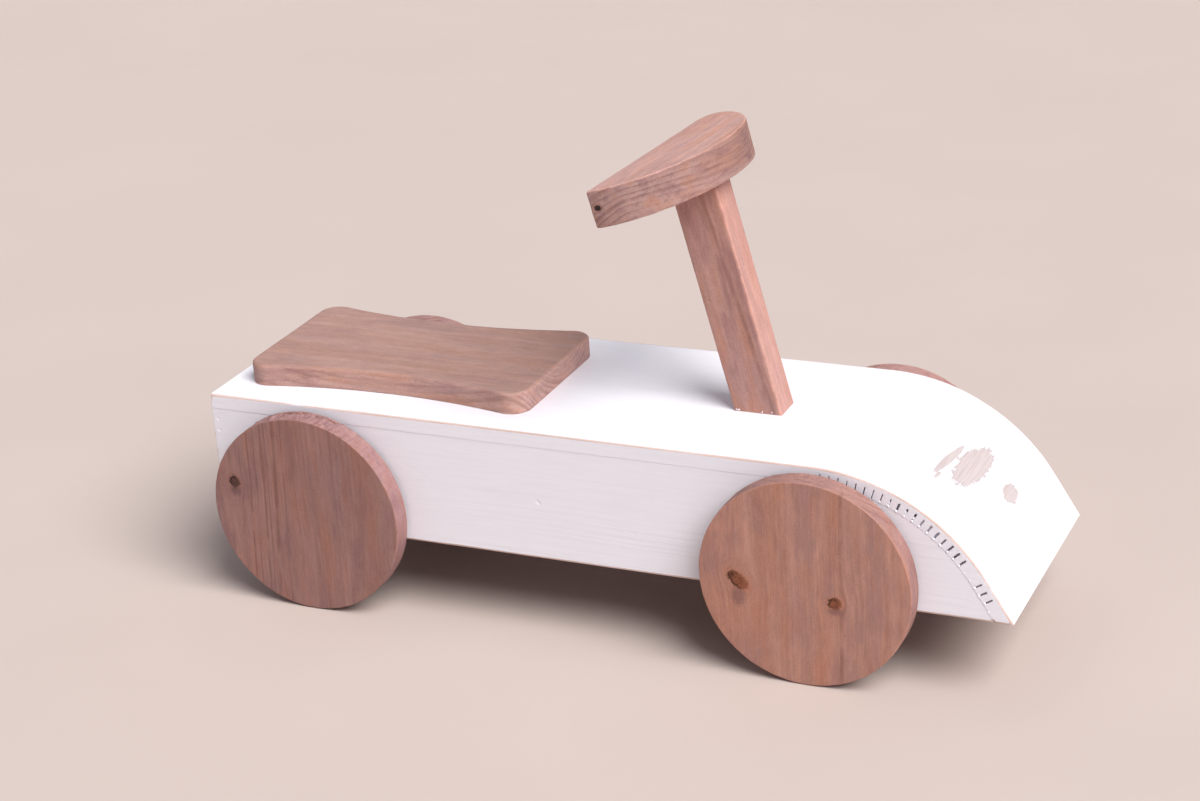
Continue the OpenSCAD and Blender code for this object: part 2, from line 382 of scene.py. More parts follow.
class Timber:
    """How one board was cut: where its grain runs, where the heart of the tree was, and its knots.
    Distances in the board are (across, through, along), in millimetres from centre. knots holds
    (point, half width, half length, turn) and veins, the dark streaks along the grain, hold
    (point, lean, half width). knot_reach is how deep a knot goes, as a multiple of its half width, and
    slope is how far the grain drifts across for each millimetre along."""

    def __init__(self, centre, along, across, heart, ring, seed, knots=(), veins=(), wave=7.0, slope=0.0,
                 knot_reach=2.2):
        self.centre = Vector(centre)
        self.along = Vector(along)
        self.across = Vector(across)
        self.through = self.along.cross(self.across)
        self.heart = heart
        self.ring = ring
        self.seed = seed
        self.knots = knots
        self.veins = veins
        self.wave = wave
        self.slope = slope
        self.knot_reach = knot_reach

    def place(self, point):
        """A point of the row frame, in metres, as distances in the board."""
        offset = (Vector(point) - self.centre) / MM
        return [offset.dot(way) for way in (self.across, self.through, self.along)]


def board_place(g, timber):
    """The shaded point as distances across, through and along the board, in millimetres."""
    found = []
    for way in (timber.across, timber.through, timber.along):
        found.append(g.x * way.x + g.y * way.y + g.z * way.z - timber.centre.dot(way) / MM)
    return found


def bend_round_knots(g, timber, across, through, along):
    """Grain that parts round each knot. Gives the new across, and the knots' body, rim, halo and smudge."""
    marks = [0.0, 0.0, 0.0, 0.0]
    for point, half_width, half_length, turn in timber.knots:
        knot_across, knot_through, knot_along = timber.place(point)
        side, deep, far = across - knot_across, through - knot_through, along - knot_along
        turned_side = (side * cos(turn) + far * sin(turn)) / half_width
        turned_far = (far * cos(turn) - side * sin(turn)) / half_length
        sunk = deep / (half_width * timber.knot_reach)
        away = (turned_side * turned_side + turned_far * turned_far + sunk * sunk).sqrt()
        grain = g.noise(across * 0.35, through * 0.35, along * 0.35 + half_width, 4, 0.65) - 0.5
        ragged = away + grain * 1.5
        push = 1 - 1.2 / (away * away).max(1.2)
        across = side * push + knot_across
        body = ragged.step(1.35, 0.65)
        broken = (grain * 2.5 + turned_far * 0.3 - turned_side * 0.35).step(-0.25, 0.3)
        rim = (ragged - 0.92).abs().step(0.34, 0.1) * broken
        core = ((ragged * 2.2).fract() - 0.5).abs().step(0.3, 0.45) * body
        core = core * (grain + 0.5).step(0.3, 0.6) * 0.75
        below = far / half_length + 1.5
        drift = (side * side / (half_width * 1.5) ** 2 + below * below * 0.7 + sunk * sunk).sqrt()
        smudge = (drift + grain).step(1.1, 0.3)
        found = [body, rim.max(core), away.step(2.0, 0.8), smudge]
        marks = [mark.max(old) for mark, old in zip(found, marks)]
    return across, marks


def vein_mask(g, timber, across, through, along, wander):
    """Dark streaks that run along the grain and fade in and out."""
    mask = 0.0
    for point, lean, half_width in timber.veins:
        vein_across, vein_through, vein_along = timber.place(point)
        side = across - vein_across - (along - vein_along) * lean + (wander - 0.5) * 6
        deep = through - vein_through
        away = (side * side + deep * deep * 0.1).sqrt() / half_width
        soft = g.noise(across * 0.5, through * 0.5, along * 0.03 + half_width, 4, 0.6) * 1.4 + 0.3
        fading = g.noise(along / 28 + half_width * 7, half_width, 0.5, 2).step(0.27, 0.52)
        mask = ((away * soft).step(1.05, 0.2) * fading).max(mask)
    return mask


def timber_layers(g, timber):
    """The patterns of a sawn board: late wood, fibres, streaks, knots, end grain."""
    seed = timber.seed
    across, through, along = board_place(g, timber)
    wander = g.noise(across / 55, through / 55, along / 230 + seed, 2)
    across, knots = bend_round_knots(g, timber, across + along * timber.slope, through, along)
    side = across + (wander - 0.5) * timber.wave * 2 - timber.heart[0]
    deep = through + (g.noise(across / 70, through / 70 + seed, along / 260, 2) - 0.5) * timber.wave
    deep = deep - timber.heart[1]
    radius = (side * side + deep * deep).sqrt()
    uneven = (g.noise(radius / 22, seed * 3, along / 900, 2) - 0.5) * 3
    uneven = uneven + (g.noise(radius / 6, seed * 5, along / 500, 2) - 0.5) * 1.5
    year = (radius / timber.ring + uneven).fract()
    faint = g.noise(side / 30, deep / 30 + seed, along / 300, 2).step(0.38, 0.62)
    return SimpleNamespace(
        late=year.step(0.3, 0.92) * year.step(1.0, 0.92) * (faint * 0.75 + 0.25),
        fibre=g.noise(side * 0.55, deep * 0.55, along * 0.016 + seed, 4, 0.62),
        thread=g.noise(side * 2.6, deep * 2.6, along * 0.11 + seed, 2, 0.6),
        speckle=g.noise(g.x * 0.7, g.y * 0.7, g.z * 0.7, 3, 0.7),
        streak=g.noise(side * 0.11 + seed, deep * 0.11, along * 0.006, 3, 0.55),
        band=g.noise(side * 0.05, deep * 0.05 + seed, along * 0.005, 3, 0.6),
        cloud=g.noise(side / 24 + seed, deep / 24, along / 60, 3, 0.55),
        mottle=g.noise(side / 7, deep / 7 + seed, along / 16, 4, 0.65),
        blush=g.noise(side / 9 + seed, deep / 9, along / 45 + seed, 3, 0.5),
        vein=vein_mask(g, timber, across, through, along, wander),
        place=(across, through, along),
        knots=knots,
        end=g.towards(timber.along).abs().step(0.55, 0.95),
    )


def pores(g, layers, seed):
    """Small dark dashes along the grain."""
    across, through, along = layers.place
    distance, number = g.specks(across / 8 + seed, through / 8, along / 17)
    return distance.step(0.075, 0.03) * number.step(0.66, 0.7)


def tinted(tone, red, green, blue):
    return (tone[0] * red, tone[1] * green, tone[2] * blue)


def stained_wood(name, timber, tone, late, red, grey, blush, face, edge_shade, edge_grey_and_cool_shade=0.0,
                 side_late=0.2, streaks=0.5, knot_tone=(0.25, 0.078, 0.036)):
    """Stained softwood. tone is the middle colour, streaks says how far it goes from pale to dark along
    the grain, red and grey how much of each runs through it, blush how strong the rusty and the dark
    patches are, and late how clear the rings are. face is the direction of the board's sanded faces. The
    other surfaces are edge_shade as light, which is partly the tone of sawn edges and
    partly painted light and shade for the way they face the light, and edge_grey_and_cool_shade greyer
    and bluer, partly their own grey and partly painted cool shade. They show their rings by side_late more."""
    g = Graph(name, specular=0.3)
    layers = timber_layers(g, timber)
    middle = Vector(tone)
    off_face = 1 - g.towards(face).abs().step(0.4, 0.8)
    pore = pores(g, layers, timber.seed)
    rings = (layers.end * 0.6 + off_face * side_late + late).min(0.9)
    patchy = (off_face * 0.6 + 0.4) * blush
    body, rim, halo, smudge = layers.knots
    # How much of each tint, as a share of the middle colour: ruddy bands, ashen clouds, rusty and dark
    # patches, greyer, bluer edges (partly their own grey, partly painted cool shade), rings, end grain
    # (lighter and bluer, partly its own look and partly painted light where end faces look up, such as
    # the top of a wheel's rim), pores, veins, and the knots' halo and smudge
    tints = (
        (layers.band.step(0.44, 0.64) * red, (1.05, 0.88, 0.74)),
        (layers.cloud.step(0.44, 0.66) * grey, (0.84, 0.90, 1.07)),
        (layers.blush.step(0.48, 0.68) * patchy, (1.10, 0.86, 0.66)),
        (layers.blush.step(0.5, 0.3) * patchy, (0.70, 0.60, 0.72)),
        (off_face * edge_grey_and_cool_shade, (0.8, 0.9, 1.15)),
        (layers.late * rings, (0.55, 0.42, 0.43)),
        (layers.end * 0.3, (1.05, 1.15, 1.3)),
        (pore * 0.6, (0.4, 0.4, 0.4)),
        (layers.vein * 0.45, (0.5, 0.40, 0.40)),
        (halo * 0.6, (1.0, 0.74, 0.55)),
        (smudge * 0.6, (0.40, 0.40, 0.50)))
    pale = tuple(middle * 1.17 + Vector((0.012, 0.014, 0.014)))
    colour = g.mix(layers.streak.step(0.3, 0.7) * streaks, pale, tuple(middle * 0.90))
    for share, tint in tints:
        colour = g.mix(share, colour, tinted(middle, *tint))
    colour = g.mix(body * 0.9, colour, knot_tone)
    colour = g.mix(rim * 0.85, colour, tinted(knot_tone, 0.2, 0.2, 0.2))
    height = layers.fibre * 0.14 + layers.thread * 0.08 + layers.speckle * 0.10
    height = height - pore * 0.2 - layers.vein * 0.06 - rim * 0.35 - body * 0.1
    shade = (layers.fibre - 0.5) * 0.42 + (layers.thread - 0.5) * 0.3 + (layers.speckle - 0.5) * 0.5
    shade = shade + (layers.mottle - 0.5) * 0.4 + 1
    # Surfaces that don't face the board's face are drawn lighter or darker by a factor: partly the sawn
    # edges' own tone, partly painted light and shade.
    colour = g.scale(colour, shade * (off_face * (edge_shade - 1) + 1))
    # Rounded arrises are drawn lighter: partly stain worn off them, partly a painted highlight along the
    # edges.
    edge = g.attribute("wear") * g.noise(g.x / 8, g.y / 8, g.z / 8, 4, 0.6).step(0.35, 0.6)
    colour = g.mix(edge * 0.5, colour, tinted(middle, 1.5, 1.4, 1.3))
    roughness = 0.68 - layers.late * 0.08 + pore * 0.15 + (layers.cloud - 0.5) * 0.15
    return g.finish(colour, roughness, height)


BARE_TONE = (0.66, 0.50, 0.45)
SANDED_TONES = ((0.56, 0.49, 0.48), (0.49, 0.405, 0.395))


def bare_layers(g, timber):
    """Colour, roughness and height of unfinished softwood."""
    layers = timber_layers(g, timber)
    tone = Vector(BARE_TONE)
    colour = g.mix(layers.streak.step(0.3, 0.7) * 0.6, tuple(tone * 1.08), tuple(tone * 0.86))
    colour = g.mix(layers.late * 0.5, colour, tinted(tone, 0.72, 0.58, 0.46))
    colour = g.scale(colour, layers.fibre * 0.4 + layers.thread * 0.25 + 0.68)
    colour = g.scale(colour, 1 - layers.end * 0.18)
    height = layers.fibre * 0.12 + layers.thread * 0.07 + layers.late * 0.06
    return layers, colour, 0.72 - layers.late * 0.1, height


def bare_wood(name, timber):
    g = Graph(name, specular=0.35)
    _, colour, roughness, height = bare_layers(g, timber)
    return g.finish(colour, roughness, height)


def worn_patch(g, run, centre, size, slant):
    """A streaky patch on the nose where the paint is rubbed through, streaks running across the board.
    Gives the bare wood and a darker line round it, a painted shadow where the edge of the broken paint
    would shade the wood."""
    away_y = g.y - centre[1]
    away_run = run - centre[0] - away_y * slant
    scratches = g.noise(away_run * 0.6, away_y * 0.035, 4.2, 4, 0.65) - 0.5
    ragged = g.noise(away_run * 0.25, away_y * 0.12, 1.7, 4, 0.7) - 0.5
    round_it = 1 - (away_run * away_run / size[0] ** 2 + away_y * away_y / size[1] ** 2)
    level = round_it * 1.05 + scratches + ragged * 1.7
    bare = level.step(0.06, 0.16) * round_it.step(-0.25, 0)
    # A darker line round the patch: painted shadow of the paint's edge.
    rim = (level - 0.16).abs().step(0.2, 0.05) * round_it.step(-0.25, 0) * scratches.step(-0.12, 0.1)
    return bare, rim


def white_paint(name, timber, patches=(), bare_side=None, grain=1.0):
    """White satin paint on softwood, worn through on the arrises. patches are worn places on the nose,
    bare_side is the direction of the board's unpainted face, and grain is how much of it shows."""
    g = Graph(name, specular=0.4)
    layers, wood, wood_rough, wood_height = bare_layers(g, timber)
    seed = timber.seed
    spotty = g.noise(g.x / 6 + seed, g.y / 6, g.z / 6, 4, 0.6) - 0.5
    patchy = g.noise(g.x / 45 + seed, g.y / 45, g.z / 45, 2) - 0.5
    worn = g.attribute("wear")
    bare = (worn + spotty * 0.8 + patchy * 0.9).step(0.4, 0.68) * worn.step(0.05, 0.3)
    brush = g.noise(g.x * 0.02 + seed, g.y * 0.4, g.z * 0.4, 3, 0.6)
    paint = g.mix(brush.step(0.3, 0.7), (0.835, 0.822, 0.872), (0.86, 0.845, 0.89))
    paint = g.mix(layers.late * (0.06 * grain), paint, (0.78, 0.73, 0.75))
    if patches:
        # Length along the deck's outer face from where the bend starts
        run = g.math("ARCTAN2", g.x - BEND_X / MM, g.z - BEND_Z / MM) * (NOSE_R / MM)
        streaks = g.noise(run * 0.5, g.y * 0.03, 7.7, 3, 0.6).step(0.35, 0.7)
        sanded = g.mix(streaks, *SANDED_TONES)
        painted_patch_shadow = 0.0
    for patch in patches:
        rubbed, rim = worn_patch(g, run, *patch)
        wood = g.mix(rubbed, wood, sanded)
        bare = bare.max(rubbed)
        painted_patch_shadow = rim.max(painted_patch_shadow)
    if bare_side is not None:
        bare = bare.max((g.towards(bare_side) + spotty * 0.3).step(0.6, 0.75))
    colour = g.mix(bare, paint, wood)
    if patches:
        # The patches' darker lilac outlines are painted shadow of the paint's edge.
        colour = g.mix(painted_patch_shadow * 0.5, colour, (0.40, 0.34, 0.39))
    dent, number = g.specks(g.x / 19 + seed, g.y / 19, g.z / 19)
    dents = dent.step(0.06, 0.02) * number.step(0.82, 0.84)
    ridges = (layers.late * 0.07 + layers.fibre * 0.08) * grain + brush * 0.04
    grit = (g.noise(g.x * 0.9, g.y * 0.9, g.z * 0.9, 3, 0.6) + spotty) * 0.035
    painted_height = ridges + grit - dents * 0.2 + 0.12
    height = painted_height * (1 - bare) + wood_height * bare * 0.7
    roughness = (0.44 + (brush - 0.5) * 0.2) * (1 - bare) + wood_rough * bare
    return g.finish(colour, roughness, height)


def zinc(name):
    g = Graph(name)
    g.shader.inputs["Metallic"].default_value = 1.0
    scuff = g.noise(g.x * 2, g.y * 2, g.z * 0.3, 3)
    colour = g.mix(scuff, (0.52, 0.52, 0.54), (0.70, 0.70, 0.70))
    return g.finish(colour, 0.28 + scuff * 0.25, scuff * 0.02)


# ---------------- body

def nose_point(run, depth):
    """Side view (x, z) of the point that lies run along the bend, from its start, and depth below the
    deck's outer face."""
    bent = min(max(run, 0), BEND_LENGTH)
    angle = bent / KERF_R
    radius = NOSE_R - depth
    on = run - bent
    return Vector((BEND_X + radius * sin(angle) + on * cos(angle),
                   BEND_Z + radius * cos(angle) - on * sin(angle)))


def nose_end(depth):
    """The run at which a layer reaches the bottom edge."""
    radius = NOSE_R - depth
    return BEND_LENGTH + (BEND_Z + radius * cos(NOSE_ANGLE) - BOTTOM_Z) / sin(NOSE_ANGLE)


FLAT_STEP = 7 * MM


def layer_line(depth, bend_step):
    """Side view of one layer of the deck, from the rear end to the bottom edge of the nose."""
    stops = (REAR_X - BEND_X, 0, BEND_LENGTH, nose_end(depth))
    runs = [stops[0]]
    for start, end, step in zip(stops, stops[1:], (FLAT_STEP, bend_step, FLAT_STEP)):
        count = round((end - start) / step)
        runs += [start + (end - start) * (k + 1) / count for k in range(count)]
    return [nose_point(run, depth) for run in runs]


PINCHED_KERFS = range(9)
FILLED_KERFS = (19, 20, 24)
HALF_FILLED_KERFS = (8, 10, 11)
LUMPED_KERFS = range(7, KERF_COUNT)


def kerf_widths():
    """The open width of each saw cut: paint pinches the first ones and fills some."""
    pick = random.Random(11)
    widths = []
    for i in range(KERF_COUNT):
        width = pick.uniform(0.7, 1.15) if i in PINCHED_KERFS else pick.uniform(1.45, 1.85)
        widths.append(0 if i in FILLED_KERFS else width * MM)
    return widths


def kerfed_line():
    """The deck's inner face, from the rear end to the bottom edge of the nose, with its saw cuts."""
    start, end = REAR_X - BEND_X, nose_end(BOARD_T)
    pick = random.Random(5)
    flats = round(-start / (8 * MM))
    points = [nose_point(start * (1 - k / flats), BOARD_T) for k in range(flats)]
    points.append(nose_point(0, BOARD_T))
    for i, width in enumerate(kerf_widths()):
        middle = KERF_FIRST + i * KERF_PITCH
        if width:
            skin = KERF_SKIN + pick.uniform(0.1, 0.9) * MM
            depths = (BOARD_T, (BOARD_T + skin) / 2, skin)
            points += [nose_point(middle - width / 2, depth) for depth in depths]
            points += [nose_point(middle + width / 2, depth) for depth in depths[::-1]]
        points.append(nose_point(middle + KERF_PITCH / 2, BOARD_T))
    points.append(nose_point(end, BOARD_T))
    return points


# How much the square arrises at glued joints are rounded, which leaves a hairline
JOINT_GAP = 0.06 * MM
RUBBED_PATCHES = (((101, 4), (12.5, 39), 0.08), ((83, -10), (3.4, 30), 0.11), ((83, -40), (1.6, 7), 0.1),
                  ((137, 15), (8.0, 13.5), 0.0))


def deck_timber():
    """The deck's own board, which the loose paint shares."""
    return Timber((0, 0, DECK_Z), X, Y, (25, -60), 6.5, 2.3)


def make_top_board():
    """The deck board with its bend. Its paint is rubbed through in patches on the nose, each given by its
    middle along the bend and across it, its two half sizes and its slant, in millimetres."""
    outer = layer_line(0, 2.6 * MM)
    outline = kerfed_line() + outer[::-1]
    outer_keys = {(round(p.x, 6), round(p.y, 6)) for p in outer}

    def edge(u, v, end):
        if v < BOTTOM_Z + TINY:
            return 1.3 * MM, 1
        if (round(u, 6), round(v, 6)) in outer_keys:
            rear = max(0, (REAR_X + 60 * MM - u) / (60 * MM))
            worn = 0.9 + 0.4 * ripple((u, v, end), 60 * MM)
            radius = 1.0 + 0.35 * ripple((u, v, end), 40 * MM, 3) + 0.7 * rear
            return radius * MM, worn
        return 0.12 * MM, 0

    def lift(p, n):
        if abs(p.y) > HALF_W - 3 * MM:
            return 0
        return (0.12 * ripple(p, 70 * MM) - 0.1) * MM

    piece = slab("deck_board", outline, -HALF_W, HALF_W, lambda u, v, w: (u, w, v), edge, 3 * MM, 8 * MM)
    reshape(piece, lift)
    material = white_paint("deck_paint", deck_timber(), RUBBED_PATCHES, bare_side=(0, 0, -1), grain=0.25)
    return finish_piece(piece, material, "white_paint", "top_board")


def blob(work, place, size, seed):
    """A lump of paint: a small uneven ball, size being its three half lengths."""
    made = bmesh.ops.create_icosphere(work, subdivisions=2, radius=1)["verts"]
    for vertex in made:
        swell = 1 + 0.22 * ripple(vertex.co, 0.9, seed)
        vertex.co = place + Vector([a * b * swell for a, b in zip(vertex.co, size)])


def loose_paint(name, material_name, work):
    """A piece made of lumps of the deck's paint."""
    material = white_paint(material_name, deck_timber(), grain=0.1)
    return finish_piece(bmesh_piece(name, work), material, "white_paint")


def plug(work, run, side, sunk):
    """A film of paint across a saw cut, sunk below the board's edge."""
    x, z = nose_point(run, (BOARD_T + KERF_SKIN) / 2)
    place = Matrix.Translation((x, side * (HALF_W - sunk), z))
    size = Matrix.Diagonal((KERF_W, 0.3 * MM, BOARD_T - KERF_SKIN - 0.4 * MM, 1))
    bmesh.ops.create_cube(work, size=1, matrix=place @ Matrix.Rotation(run / KERF_R, 4, "Y") @ size)


def make_kerf_paint(side, name):
    """Films of paint in the saw cuts, lumps of it at their inner ends, and longer ones where it half fills
    a cut."""
    pick = random.Random(40 + side)
    work = bmesh.new()
    for i in range(KERF_COUNT):
        if i not in FILLED_KERFS:
            plug(work, KERF_FIRST + i * KERF_PITCH, side, pick.uniform(3.0, 6.0) * MM)
    for i in LUMPED_KERFS:
        run = KERF_FIRST + i * KERF_PITCH + pick.uniform(-0.4, 0.3) * MM
        deep = pick.uniform(10.8, 11.6) * MM
        radius = pick.uniform(1.0, 1.4) * MM
        if i in FILLED_KERFS:
            radius *= 0.6
        x, z = nose_point(run, deep)
        blob(work, Vector((x, side * (HALF_W - 0.4 * MM), z)), (radius, 0.9 * MM, radius), i)
        if i in HALF_FILLED_KERFS:
            x, z = nose_point(run, 9 * MM)
            blob(work, Vector((x, side * (HALF_W - 1.2 * MM), z)), (1.0 * MM, 0.9 * MM, 2.0 * MM), i + 30)
    return loose_paint(name, name + "_white", work)


NAIL_X = REAR_X + 5 * MM
NAIL_DROPS = (9 * MM, 19 * MM, 70 * MM, 84 * MM)
# Head and shank: where each starts and ends below the side's face, and its radius, in millimetres
NAIL_PARTS = ((1.6, 2.4, 0.8), (2.3, 26, 0.45))


def dimple(point, place, radius, depth):
    """How far a small round dent sinks the surface at a point."""
    away = (point - place).length / radius
    return -depth * exp(-away * away * 1.6)


def make_side_panel(side, name):
    upper = layer_line(BOARD_T, 6 * MM)
    outline = dense([Vector((REAR_X, BOTTOM_Z)), *upper[::-1]], 8 * MM)
    top = PANEL_HIGH.z
    dents = [(NAIL_X, top - drop, 1.2, 0.5) for drop in NAIL_DROPS]
    # On the right a double dent and a scratch, which is a row of shallow dents; on the left two dents
    if side == RIGHT:
        dents += [(-44.7 * MM, 112.9 * MM, 1.4, 0.4), (-43.6 * MM, 111.6 * MM, 1.3, 0.35)]
        dents += [(x * MM, (131 - 14 * ((x + 164) / 26) ** 1.5) * MM, 0.9, 0.12)
                  for x in range(-164, -137, 2)]
    else:
        dents += [(112 * MM, 96 * MM, 2.2, 0.4), (-118 * MM, 133 * MM, 1.6, 0.3)]

    def edge(u, v, end):
        if end == 1:
            return 0.5 * MM, 1
        if v < BOTTOM_Z + TINY:
            return 1.4 * MM * (1 + 0.25 * ripple((u, v, side), 30 * MM)), 1
        if u < REAR_X + TINY and v < top - TINY:
            return 1.0 * MM, 0.35
        return JOINT_GAP, 0

    finer = [(x, z, 3.4 * MM) for x, z, _, _ in dents]
    piece = slab(name, outline, 0, SIDE_T, lambda u, v, w: (u, side * (HALF_W - w), v), edge,
                 5 * MM, 6 * MM, finer)

    def lift(p, n):
        if n.y * side < 0.9:
            return 0
        spots = [dimple(p, Vector((x, side * HALF_W, z)), radius * MM, depth * MM)
                 for x, z, radius, depth in dents]
        return 0.12 * MM * ripple(p, 90 * MM) - 0.1 * MM + sum(spots)

    reshape(piece, lift)
    timber = Timber((0, side * HALF_W, 110 * MM), X, Z, (22, -34 * side), 5.2, 4.1 + side)
    material = white_paint(name + "_paint", timber, bare_side=(0, -side, -0.9))
    return finish_piece(piece, material, "white_paint",
                        "side_panel_left" if side == LEFT else "side_panel_right")


def make_nails():
    """Brads whose heads are punched below the paint, so that only their dimples show."""
    work = bmesh.new()
    for side in (RIGHT, LEFT):
        for drop in NAIL_DROPS:
            z = PANEL_HIGH.z - drop
            for start, end, radius in NAIL_PARTS:
                middle = Vector((NAIL_X, side * (HALF_W - (start + end) / 2 * MM), z))
                turn = Matrix.Translation(middle) @ Matrix.Rotation(pi / 2, 4, "X")
                bmesh.ops.create_cone(work, cap_ends=True, segments=16, radius1=radius * MM,
                                      radius2=radius * MM, depth=(end - start) * MM, matrix=turn)
    return finish_piece(bmesh_piece("brad_nails", work), zinc("brad_steel"), "steel", "rear_nails")


def make_rear_panel():
    low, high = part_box("rear_panel")
    corners = [Vector(c) for c in ((low.y, low.z), (high.y, low.z), (high.y, high.z), (low.y, high.z))]
    outline = dense(corners, 6 * MM)

    def edge(u, v, end):
        if v < low.z + TINY:
            return 1.2 * MM, 1
        return JOINT_GAP, 0

    piece = slab("rear_board", outline, low.x, high.x, lambda u, v, w: (w, u, v), edge, 6 * MM, 6 * MM)
    timber = Timber((REAR_X, 0, 110 * MM), Y, Z, (-18, 40), 5.5, 6.6)
    material = white_paint("rear_paint", timber, bare_side=(1, 0, -0.9))
    return finish_piece(piece, material, "white_paint", "rear_panel")


# ---------------- seat, post and handlebar

def arc(centre, radius, start, end, step):
    """Points of an arc, angles in degrees, with its ends."""
    count = max(2, round(abs(radians(end - start)) * radius / step))
    return [Vector(centre) + radius * Vector((cos(a), sin(a)))
            for a in (radians(start + (end - start) * k / count) for k in range(count + 1))]


def seat_outline():
    """Round corners that run smoothly into a hollow arc on each long side, counter-clockwise."""
    length = SEAT_HIGH.x - SEAT_LOW.x
    half = length / 2 - SEAT_CORNER
    corner_y = SEAT_HIGH.y - SEAT_CORNER
    step = SEAT_WAIST / 2 - corner_y
    waist_r = (half ** 2 + step ** 2 - SEAT_CORNER ** 2) / (2 * (SEAT_CORNER - step))
    middle = (SEAT_LOW.x + SEAT_HIGH.x) / 2
    waist_y = SEAT_WAIST / 2 + waist_r
    lean = degrees(atan2(half, waist_y - corner_y))
    side = (arc((middle + half, corner_y), SEAT_CORNER, 0, 90 + lean, 2.5 * MM)
            + arc((middle, waist_y), waist_r, lean - 90, -lean - 90, 4 * MM)[1:-1]
            + arc((middle - half, corner_y), SEAT_CORNER, 90 - lean, 180, 2.5 * MM))
    other = [Vector((2 * middle - p.x, -p.y)) for p in side]
    return dense(side + other, 5 * MM)


def make_seat():
    def edge(u, v, end):
        uneven = 1 + 0.2 * ripple((u, v, end), 35 * MM, 2)
        return (2.6 * MM * uneven, 0.5) if end else (0.7 * MM, 0.3)

    piece = slab("seat_plank", seat_outline(), SEAT_LOW.z, SEAT_HIGH.z, lambda u, v, w: (u, v, w), edge,
                 4 * MM, 3 * MM)
    reshape(piece, lambda p, n: 0.25 * MM * ripple(p, 60 * MM) - 0.1 * MM if n.z > -0.5 else 0)
    timber = Timber(((SEAT_LOW.x + SEAT_HIGH.x) / 2, 0, SEAT_HIGH.z), X, Y, (14, 52), 5.0, 9.4, wave=5)
    # The seat's edges are drawn lighter than its top: partly the sawn edges' tone, partly painted light.
    material = stained_wood("seat_stain", timber, (0.355, 0.212, 0.176), late=0.12, side_late=0.3,
                            streaks=0.4, red=0.35, grey=0.35, blush=0.5, face=Z, edge_shade=1.22)
    return finish_piece(piece, material, "stained_wood", "seat_board")


POST_CORNERS = ((1, 1, 1.2 * MM), (-1, 1, 1.2 * MM), (-1, -1, 1.0 * MM), (1, -1, 0.9 * MM))


def post_outline():
    points = []
    for turn, (x, y, radius) in enumerate(POST_CORNERS):
        centre = (x * (POST_D / 2 - radius), y * (POST_W / 2 - radius))
        points += arc(centre, radius, 90 * turn, 90 * turn + 90, 0.6 * MM)
    return dense(points, 1.7 * MM)


def make_post():
    def place(u, v, w):
        foot = -u * tan(POST_LEAN)
        return POST_FOOT + POST_FORE * u + Y * v + POST_UP * (foot + (POST_L - foot) * w)

    piece = slab("steering_column", post_outline(), 0, 1, place, lambda u, v, end: (0, 0), 4 * MM, 1 / 90)

    def corner(p):
        """1 on the near front corner, where the square edge is broken unevenly, and 0 away from it. There
        the corner is drawn lighter, which is worn stain and a painted highlight.
        """
        offset = p - POST_FOOT
        away = hypot(offset.dot(POST_FORE) - POST_D / 2, offset.y + POST_W / 2)
        return max(0, 1 - away / (2.6 * MM))

    def lift(p, n):
        if p.z < DECK_Z + 1.2 * MM or p.z > BAR_FOOT.z + 4 * MM:
            return 0
        broken = corner(p) * (0.5 + 0.7 * ripple(p, 9 * MM, 5))
        return (0.16 * ripple(p, 30 * MM) - 0.12 - max(0, broken)) * MM

    # The near front corner is drawn lighter: worn stain and a painted highlight along it.
    piece.data.attributes["wear"].data.foreach_set("value", [
        min(1, corner(vertex.co) * 2.0) for vertex in piece.data.vertices])
    reshape(piece, lift)
    streak_start = POST_FOOT + (POST_UP * 178 + POST_FORE * 4) * MM - Y * POST_W / 2
    timber = Timber(POST_FOOT, POST_UP, POST_FORE, (-10, 90), 9.0, 12.5, wave=4,
                    veins=[(streak_start, -0.05, 2.4)])
    # The post's sides are drawn darker than its front and back: partly the wood's tone, partly painted
    # shade.
    material = stained_wood("post_stain", timber, (0.478, 0.262, 0.218), late=0.08, side_late=0.1, red=0.3,
                            grey=0.3, blush=0.5, face=X, edge_shade=0.84)
    return finish_piece(piece, material, "stained_wood", "steering_post")


def make_paint_specks():
    """Specks of deck paint that stick to the foot of the post."""
    pick = random.Random(8)
    work = bmesh.new()
    near = POST_FOOT - Y * (POST_W / 2 + 0.1 * MM)
    for along in (-17.5, -16.4, -15.2, 3.5, 4.1, 12.0):
        size = [pick.uniform(0.35, 0.9) * MM for _ in range(3)]
        up = 0.6 * MM + pick.uniform(0, 1.2) * MM
        blob(work, near + X * (along * MM - up * tan(POST_LEAN)) + Z * up, size, along)
    return loose_paint("foot_specks", "speck_white", work)


def bar_outline():
    """D shape, counter-clockwise: a half ellipse before the straight edge, its left corner rounded off."""
    normal = atan2(BAR_D * sin(BAR_TURN), BAR_L / 2 * cos(BAR_TURN))
    corner = BAR_D * cos(BAR_TURN) / (1 + cos(normal))
    corner_y = BAR_L / 2 * sin(BAR_TURN) - corner * sin(normal)
    count = 70
    points = []
    for k in range(count + 1):
        angle = -pi / 2 + (BAR_TURN + pi / 2) * k / count
        points.append(Vector((BAR_D * cos(angle), BAR_L / 2 * sin(angle))))
    points += arc((corner, corner_y), corner, degrees(normal), 180, 2 * MM)[1:]
    return dense([p - Vector((BAR_BACK, 0)) for p in points], 3.5 * MM)


